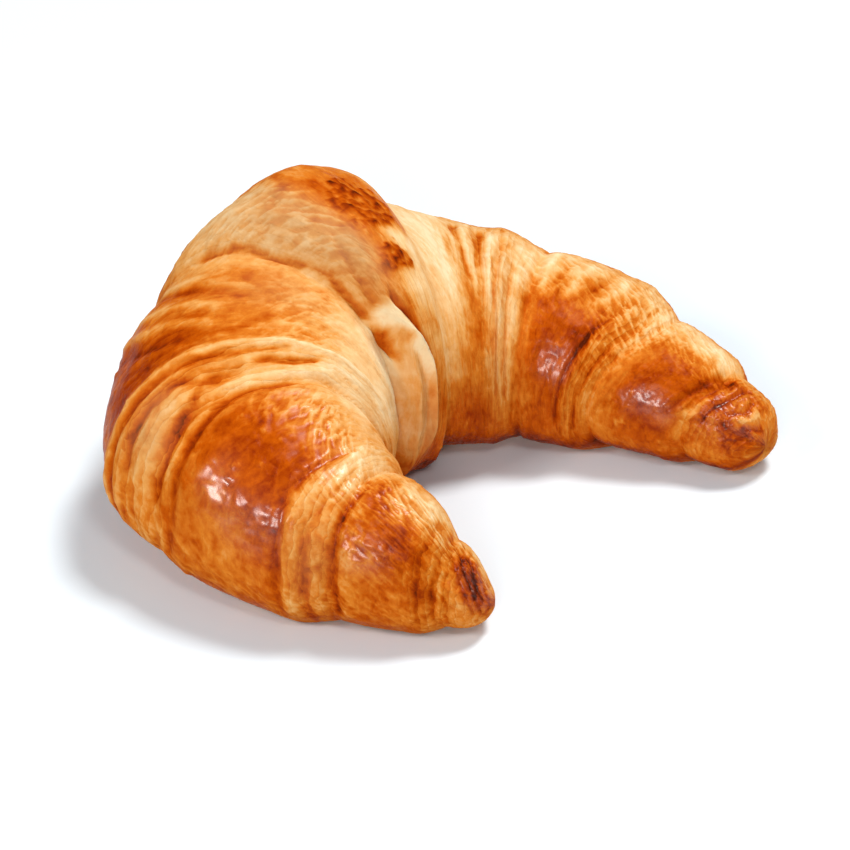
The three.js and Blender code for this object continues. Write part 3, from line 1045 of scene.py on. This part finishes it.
    def browned(self, ground: Ground, marks: Marks, bake: Array, fold: Array) -> Array:
        """How brown each place is, with every mark.

        Args:
            ground: The bare roll.
            marks: The marks on it.
            bake: How brown each place is without them.
            fold: How much browner or paler the tucked fold makes it, with its painted highlight and painted
                shade.

        Returns:
            Brownness, from 0 for cream to 1 for the darkest crust.
        """
        b, m, plain = self.browns, marks, 1 - marks.flaky
        bake = bake + (b.blotch + b.glazed_blotch * m.glaze) * ground.blotch
        # Paler where the broad layers stand high and, below, browner in the layers' shadow. This is partly
        # their own tone and partly painted light on their tops and painted shade at their drops.
        bake = bake - b.broad_layers * m.flaky * (m.broad.rise - b.usual_broad)
        bake = bake + m.flaky * (
            b.tone * m.broad.tone
            + b.thin_tone * m.thin.tone
            + b.shadow * (m.broad.shadow - b.usual_shadow)
            + b.thin_shadow * (m.thin.shadow - b.usual_thin_shadow)
        )
        # The creases are browner as painted shade. fold brings the tuck's painted highlight and shade. The
        # seams are browner in their cuts and paler on their ridges, partly their own lines and partly painted
        # shade and light.
        bake = bake + b.strands * ground.strands + b.crease * m.crease + fold + m.line_change
        # Browner in the sunk wrinkles: partly their own tone and partly painted shade.
        bake = bake + b.wrinkles * plain * (ground.wrinkles - b.usual_wrinkles)
        # Paler on the raised blisters: partly their own tone and partly painted highlight.
        bake = bake - b.blisters * m.glaze * m.blisters
        bake = bake + b.soft_shadow * plain * (1 - m.glaze) * (m.soft.shadow - b.usual_shadow)
        # Paler on the raised folds: partly their own tone and partly painted light.
        bake = bake - b.folds * m.wrinkled * (ground.folds - b.usual_folds)
        bake = bake + b.scorch * m.scorch
        crumbs = np.clip(ground.crumble, b.least_crumble, b.most_crumble)
        bake = bake * (1 - m.toast) + m.toast * (b.toast + b.crumble * crumbs)
        return np.clip(bake, 0, self.darkest)

    def detail(self, ground: Ground, marks: Marks) -> Array:
        """The fine relief of the crust.

        Args:
            ground: The bare roll.
            marks: The marks on it.

        Returns:
            Height in millimetres.
        """
        h, m, plain = self.heights, marks, 1 - marks.flaky
        detail = (
            h.lumps * ground.lumps
            + (h.swell + h.glazed_swell * m.glaze) * ground.swell
            + h.soft_layers * plain * m.soft.rise
            + h.folds * m.wrinkled * ground.folds
            + h.strands * ground.strands
            - h.wrinkles * plain * ground.wrinkles
        )
        detail += (
            h.blisters * m.glaze * m.blisters
            + (h.pimples + h.crinkled_pimples * m.crinkle) * ground.pimples
            + h.crinkled_crumble * m.crinkle * ground.crumble
        )
        detail += (
            m.flaky * (h.broad_layers * m.broad.rise + h.thin_layers * m.thin.rise - h.layers_sink)
            + m.toast * (h.toast_crumble * ground.crumble + h.toast)
            - h.crease * m.crease
        )
        detail += m.line_rise + sum(patch.shade(ground.course, ground.degrees) for patch in self.lumps)
        tips = smoothstep(np.abs(ground.course), *self.torn_tips)
        detail += tips * (h.tip_swell * ground.swell + h.tip_crumble * ground.crumble)
        return detail * (self.tray_detail + (1 - self.tray_detail) * ground.clear)

    def shape(self) -> Surface:
        """Works out the grid's points, with their fine relief, and the skin's values at each.

        Returns:
            The crust's surface.
        """
        ground = Ground(self.dough, self.places()[:, None], self.angles()[None, :])
        bake = self.base_bake + ground.spread(self.patches)
        marks = self.marks(ground, bake)
        # brown is the tuck's change of brownness: its painted highlight and painted shade.
        fold, brown = self.tuck.relief(ground.course, ground.degrees)
        rise = ground.form + fold + self.detail(ground, marks)
        skin = {
            Skin.BAKE: self.browned(ground, marks, bake, brown),
            Skin.GLAZE: np.clip(marks.glaze, 0, 1),
            Skin.LAYERS: marks.flaky,
            Skin.CRINKLE: marks.crinkle,
            Skin.FLOURY: marks.floury,
            Skin.TOAST: np.clip(marks.toast, 0, 1),
        }
        return Surface(self.dough.surface(ground.along, ground.angle, rise), ground.course, skin)

    def mesh(self, surface: Surface) -> bpy.types.Object:
        """Puts the grid into a closed mesh, centred on the solid and on the floor.

        The mesh has rings of quads, and a fan of triangles at each tip. The point in the middle of a fan is
        half way between the roll's end and the middle of the last ring.

        Args:
            surface: The crust's surface.

        Returns:
            The croissant's object.
        """
        points = surface.points
        rings, around = points.shape[:2]
        lo, hi = points.reshape(-1, 3).min(0), points.reshape(-1, 3).max(0)
        low, high = (np.array(corner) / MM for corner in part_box("croissant"))
        shift = ((low + high) - (lo + hi)) / 2
        shift[2] = low[2] - lo[2]
        ends = self.dough.surface(
            np.array([[-1.0], [1.0]]) * self.dough.half_length, np.zeros((1, 1)), np.zeros((2, 1))
        ).reshape(2, 3)
        middles = points[[0, -1]].mean(axis=1)
        ends[:, 2] = middles[:, 2]
        ends[:, :2] = (ends[:, :2] + middles[:, :2]) / 2
        vertices = (np.concatenate([points.reshape(-1, 3), ends]) + shift) * MM
        ring = np.arange(rings - 1)[:, None] * around
        here = np.arange(around)
        there = (here + 1) % around
        corners = (ring + here, ring + there, ring + around + there, ring + around + here)
        quads = np.stack(corners, -1).reshape(-1, 4)
        first, last = rings * around, rings * around + 1
        top = (rings - 1) * around
        fans = np.concatenate([
            np.stack([np.full(around, first), there, here], -1),
            np.stack([np.full(around, last), top + here, top + there], -1),
        ])
        mesh = bpy.data.meshes.new("croissant_crust")
        mesh.from_pydata(vertices.tolist(), [], quads.tolist() + fans.tolist())
        mesh.shade_smooth()
        self.dress(mesh, surface)
        crust = bpy.data.objects.new("croissant_crust", mesh)
        bpy.context.scene.collection.objects.link(crust)
        return crust

    def dress(self, mesh: bpy.types.Mesh, surface: Surface) -> None:
        """Writes the skin's values and the flat map of the surface into the mesh.

        The map's first coordinate is the course and its second the angle, in tens of millimetres and of
        degrees, so that a fine pattern can follow the layers. The faces that close a ring join its last point
        to its first, whose angle counts as a full turn more there.

        Args:
            mesh: The croissant's mesh.
            surface: The crust's surface.
        """
        for skin, values in surface.skin.items():
            ends = values[[0, -1]].mean(axis=1)
            data = np.concatenate([values.reshape(-1), ends]).astype(np.float32)
            mesh.attributes.new(skin.value, "FLOAT", "POINT").data.foreach_set("value", data)
        corners = np.empty(len(mesh.loops), dtype=np.int32)
        mesh.loops.foreach_get("vertex_index", corners)
        rings, around = surface.course.shape
        course, turn = surface.course, np.degrees(self.angles())
        u = np.concatenate([course.reshape(-1), course[0, :1], course[-1, :1]]) / self.map_unit
        v = np.concatenate([np.tile(turn, rings), [self.tip_turn] * 2]) / self.map_unit
        starts = np.empty(len(mesh.polygons), dtype=np.int32)
        sizes = np.empty(len(mesh.polygons), dtype=np.int32)
        mesh.polygons.foreach_get("loop_start", starts)
        mesh.polygons.foreach_get("loop_total", sizes)
        face = np.repeat(np.arange(len(sizes)), sizes)
        first_column = (corners % around == 0) & (corners < rings * around)
        widest = np.maximum.reduceat(v[corners], starts)
        wraps = first_column & (widest[face] > self.closing_turn / self.map_unit) & (v[corners] < 0)
        uv = np.stack([u[corners], np.where(wraps, v[corners] + 360 / self.map_unit, v[corners])], -1)
        layer = mesh.uv_layers.new(name="layers_map")
        layer.uv.foreach_set("vector", uv.astype(np.float32).reshape(-1))


class Value:
    """A shader socket that can be used in sums: an expression on it adds its Math nodes."""

    def __init__(self, tree: "Finish", socket: bpy.types.NodeSocket) -> None:
        """Wraps an output socket of that finish's tree."""
        self.tree = tree
        self.socket = socket

    def _math(self, operation: str, *values: Any, clamp: bool = False) -> "Value":
        """A Math node of that operation on the values."""
        settings = dict(operation=operation, use_clamp=clamp)
        return self.tree.node("ShaderNodeMath", settings, dict(enumerate(values)))

    def __add__(self, other: Any) -> "Value":
        """The sum."""
        return self._math("ADD", self, other)

    __radd__ = __add__

    def __mul__(self, other: Any) -> "Value":
        """The product."""
        return self._math("MULTIPLY", self, other)

    __rmul__ = __mul__

    def __sub__(self, other: Any) -> "Value":
        """The difference."""
        return self._math("SUBTRACT", self, other)

    def __rsub__(self, other: Any) -> "Value":
        """The difference, the other way round."""
        return self._math("SUBTRACT", other, self)

    def clamped(self) -> "Value":
        """The value held between 0 and 1."""
        return self._math("ADD", self, 0.0, clamp=True)


class Finish:
    """A material under construction, with one method that adds any node."""

    def __init__(self, name: str) -> None:
        """Starts an empty material.

        Args:
            name: The material's name.
        """
        self.material = bpy.data.materials.new(name)
        self.material.use_nodes = True
        self.material.node_tree.nodes.clear()

    def node(
        self,
        kind: str,
        settings: dict[str, Any] | None = None,
        sockets: dict[Any, Any] | None = None,
        output: int | str = 0,
    ) -> Value:
        """Adds a node: its settings first, then the values or links of its sockets.

        Args:
            kind: The node's type.
            settings: Properties of the node; a ramp's stops go under "stops" as (place, colour) pairs.
            sockets: Values or links, by the input's name or number.
            output: Which output to return.

        Returns:
            That output, wrapped.
        """
        made = self.material.node_tree.nodes.new(kind)
        for key, value in (settings or {}).items():
            if key == "stops":
                self._stops(made.color_ramp, value)
            else:
                setattr(made, key, value)
        for key, value in (sockets or {}).items():
            if isinstance(value, Value):
                self.material.node_tree.links.new(value.socket, made.inputs[key])
            else:
                made.inputs[key].default_value = value
        return Value(self, made.outputs[output])

    @staticmethod
    def _stops(ramp: bpy.types.ColorRamp, stops: Sequence[tuple[float, Sequence[float]]]) -> None:
        """Sets a ramp's stops.

        Args:
            ramp: The ramp.
            stops: Places and colours, in rising order.
        """
        while len(ramp.elements) > 1:
            ramp.elements.remove(ramp.elements[-1])
        for number, (place, colour) in enumerate(stops):
            element = ramp.elements[0] if number == 0 else ramp.elements.new(place)
            element.position = place
            element.color = colour

    def attribute(self, skin: Skin) -> Value:
        """A value that the crust carries at each point."""
        return self.node("ShaderNodeAttribute", dict(attribute_name=skin.value), output="Fac")

    def blend(self, share: Any, first: Any, second: Any) -> Value:
        """A Mix of two colours, with that share of the second; each may be a colour or a link."""
        return self.node("ShaderNodeMix", dict(data_type="RGBA"), {0: share, 6: first, 7: second}, output=2)

    def close(self, surface: Value) -> bpy.types.Material:
        """Joins the surface to the output and hands over the material.

        Args:
            surface: The shader's output.

        Returns:
            The finished material.
        """
        out = self.material.node_tree.nodes.new("ShaderNodeOutputMaterial")
        self.material.node_tree.links.new(surface.socket, out.inputs["Surface"])
        return self.material


@dataclass(frozen=True)
class CrustFinish:
    """Egg-washed baked crust: cream in the layers, golden to dark brown where the oven reached it."""

    shades: tuple[tuple[float, tuple[float, float, float]], ...] = (
        (0.00, (246, 222, 178)),
        (0.20, (240, 196, 138)),
        (0.40, (228, 160, 84)),
        (0.55, (212, 120, 34)),
        (0.70, (188, 82, 4)),
        (0.85, (150, 50, 0)),
        (1.00, (84, 26, 4)),
    )
    flour: tuple[float, float, float] = (184, 138, 94)
    dull: float = 0.58
    glossy: float = 0.28
    coat: float = 0.01
    crinkle_coat: float = 0.95
    coat_roughness: float = 0.25
    shine: float = 0.02
    drawn_out: tuple[float, float, float] = (1.0, 0.16, 1.0)
    fibre_tone: float = 0.22
    layered_fibre_tone: float = 0.12
    mottle_tone: float = 0.34
    # The plies are paler where they stand high: partly their own tone and partly painted light on their tops.
    layer_tone: float = 0.20
    crackle_tone: float = 0.20
    flour_share: float = 0.35
    flour_mottle: float = 0.5
    mottle_roughness: float = 0.2
    toast_roughness: float = 0.1
    fibre_height: float = 0.5
    mottle_height: float = 0.5
    layer_height: float = 0.7
    crackle_height: float = 0.15
    crinkle_height: float = 1.1
    relief_strength: float = 0.8
    relief_depth: float = 0.0007

    def material(self) -> bpy.types.Material:
        """The crust's material.

        Returns:
            A material that reads the croissant's own values, flat map and object coordinates.
        """
        finish = Finish("croissant_crust")
        bake, glaze = finish.attribute(Skin.BAKE), finish.attribute(Skin.GLAZE)
        layers, crinkle = finish.attribute(Skin.LAYERS), finish.attribute(Skin.CRINKLE)
        toast, floury = finish.attribute(Skin.TOAST), finish.attribute(Skin.FLOURY)
        place = finish.node("ShaderNodeTexCoord", output="Object")
        flat = finish.node("ShaderNodeUVMap", dict(uv_map="layers_map"))
        stretch = {0: flat, 1: self.drawn_out}
        drawn = finish.node("ShaderNodeVectorMath", dict(operation="MULTIPLY"), stretch)
        plies = finish.node("ShaderNodeTexWave", dict(wave_profile="SAW"), {
            "Vector": drawn, "Scale": 2.1, "Distortion": 7.0, "Detail": 3.0,
            "Detail Scale": 1.4, "Detail Roughness": 0.55,
        }, output="Fac")
        fibres = finish.node("ShaderNodeTexNoise", dict(noise_dimensions="2D"), {
            "Vector": drawn, "Scale": 7.0, "Detail": 4.0, "Roughness": 0.6, "Distortion": 0.6,
        })
        mottle = finish.node("ShaderNodeTexNoise", None, {
            "Vector": place, "Scale": 330.0, "Detail": 4.0, "Roughness": 0.62,
        })
        crackle = finish.node("ShaderNodeTexNoise", None, {
            "Vector": place, "Scale": 750.0, "Detail": 2.0, "Roughness": 0.6,
        })
        tone = (
            bake
            + (fibres - 0.5) * (self.fibre_tone + self.layered_fibre_tone * layers)
            + (mottle - 0.5) * self.mottle_tone
        )
        # (0.5 - plies) pales the plies' high parts: partly their own tone and partly painted light on their
        # tops.
        tone = tone + (0.5 - plies) * layers * self.layer_tone + (crackle - 0.5) * crinkle * self.crackle_tone
        stops = [(at, srgb(*rgb)) for at, rgb in self.shades]
        colour = finish.node("ShaderNodeValToRGB", dict(stops=stops), {"Fac": tone.clamped()})
        flour = floury * (self.flour_share + mottle * self.flour_mottle)
        colour = finish.blend(flour.clamped(), colour, srgb(*self.flour))
        rough = self.dull - (self.dull - self.glossy) * glaze
        rough = rough + (mottle - 0.5) * self.mottle_roughness + toast * self.toast_roughness
        height = (
            fibres * self.fibre_height
            + mottle * self.mottle_height
            + plies * layers * self.layer_height
            + crackle * (self.crackle_height + self.crinkle_height * crinkle)
        )
        bump = finish.node("ShaderNodeBump", None, {
            "Strength": self.relief_strength, "Distance": self.relief_depth, "Height": height,
        })
        wash = glaze * self.coat + crinkle * self.crinkle_coat
        surface = finish.node("ShaderNodeBsdfPrincipled", None, {
            "Base Color": colour, "Roughness": rough.clamped(), "Normal": bump,
            "Coat Weight": wash.clamped(), "Coat Roughness": self.coat_roughness,
            "Coat IOR": 1.8, "IOR": 1.45, "Specular IOR Level": self.shine,
        })
        return finish.close(surface)


@dataclass
class Floor:
    """A wide pale floor."""

    half_width: float = 3.0
    shade: tuple[float, float, float] = (233, 245, 254)

    def lay(self) -> bpy.types.Object:
        """Makes the floor as a flat sheet at the croissant's foot.

        Returns:
            The floor's object.
        """
        side = self.half_width
        mesh = bpy.data.meshes.new("floor")
        corners = [(-side, -side, 0), (side, -side, 0), (side, side, 0), (-side, side, 0)]
        mesh.from_pydata(corners, [], [(0, 1, 2, 3)])
        floor = bpy.data.objects.new("floor", mesh)
        bpy.context.scene.collection.objects.link(floor)
        finish = Finish("pale_floor")
        surface = finish.node("ShaderNodeBsdfPrincipled", None, {
            "Base Color": srgb(*self.shade), "Roughness": 0.8, "Specular IOR Level": 0.2,
        })
        mesh.materials.append(finish.close(surface))
        return floor


@dataclass(frozen=True)
class Softbox:
    """A soft square light: the way to it from the croissant, its distance, size and power."""

    name: str
    way: tuple[float, float, float]
    distance: float
    size: float
    power: float
    colour: tuple[float, float, float] = (1.0, 1.0, 1.0)

    def hang(self) -> bpy.types.Object:
        """Hangs the light so that it faces the croissant.

        Returns:
            The light's object.
        """
        lamp = bpy.data.lights.new(self.name, "AREA")
        lamp.shape = "SQUARE"
        lamp.size = self.size
        lamp.energy = self.power
        lamp.color = self.colour
        light = bpy.data.objects.new(self.name, lamp)
        bpy.context.scene.collection.objects.link(light)
        way = Vector(self.way).normalized()
        light.location = way * self.distance
        light.rotation_euler = way.to_track_quat("Z", "Y").to_euler()
        return light


@dataclass
class Studio:
    """The studio: soft lights, an even pale surround and a camera."""

    lights: tuple[Softbox, ...] = (
        Softbox("key", (0.50, -0.02, 1.09), 2.2, 0.60, 40.5, (1.0, 0.97, 0.93)),
        Softbox("left", (-0.78, 0.06, 0.62), 1.4, 0.34, 6.0, (1.0, 0.96, 0.92)),
        Softbox("front_left", (-0.66, -0.60, 0.48), 1.4, 0.30, 4.6, (1.0, 0.95, 0.90)),
        Softbox("above_front", (-0.27, -0.57, 0.78), 1.4, 0.26, 3.0, (1.0, 0.95, 0.90)),
    )
    surround: float = 0.19
    surround_shade: tuple[float, float, float] = (0.82, 0.93, 1.0)
    aim: tuple[float, float, float] = (-0.00264, -0.00232, 0.0194)
    azimuth: float = -40.63
    elevation: float = 33.19
    distance: float = 0.8776
    lens: float = 158.9
    aside: float = 0.0027
    above: float = -0.00228

    def light(self) -> None:
        """Hangs the lights and sets the surround."""
        for softbox in self.lights:
            softbox.hang()
        world = bpy.data.worlds.new("pale_surround")
        world.use_nodes = True
        background = world.node_tree.nodes["Background"]
        background.inputs["Color"].default_value = (*self.surround_shade, 1.0)
        background.inputs["Strength"].default_value = self.surround
        bpy.context.scene.world = world
        bpy.context.scene.view_settings.view_transform = "Standard"
        bpy.context.scene.view_settings.look = "None"

    def camera(self) -> bpy.types.Object:
        """Puts the camera at its angle and distance, aimed a little beside the middle to frame the picture.

        Returns:
            The camera's object.
        """
        az, el = math.radians(self.azimuth), math.radians(self.elevation)
        back = Vector((math.sin(az) * math.cos(el), -math.cos(az) * math.cos(el), math.sin(el)))
        right = Vector((math.cos(az), math.sin(az), 0.0))
        up = back.cross(right)
        place = Vector(self.aim) + back * self.distance
        target = Vector(self.aim) + right * self.aside + up * self.above
        lens = bpy.data.cameras.new("camera")
        lens.lens = self.lens
        lens.sensor_width = 36.0
        lens.clip_start = 0.01
        camera = bpy.data.objects.new("camera", lens)
        bpy.context.scene.collection.objects.link(camera)
        camera.location = place
        camera.rotation_euler = (place - target).to_track_quat("Z", "Y").to_euler()
        bpy.context.scene.camera = camera
        return camera


def main() -> None:
    """Builds the croissant, the floor and the studio, and reports each."""
    logging.basicConfig(level=logging.INFO, format="%(message)s")
    crust = Crust(Dough())
    croissant = crust.mesh(crust.shape())
    croissant.data.materials.append(CrustFinish().material())
    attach(croissant, "root")
    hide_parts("croissant")
    log.info("croissant: %d faces", len(croissant.data.polygons))
    floor = Floor().lay()
    log.info("floor laid")
    studio = Studio()
    studio.light()
    studio.camera()
    log.info("studio lit")


if __name__ == "__main__":
    main()
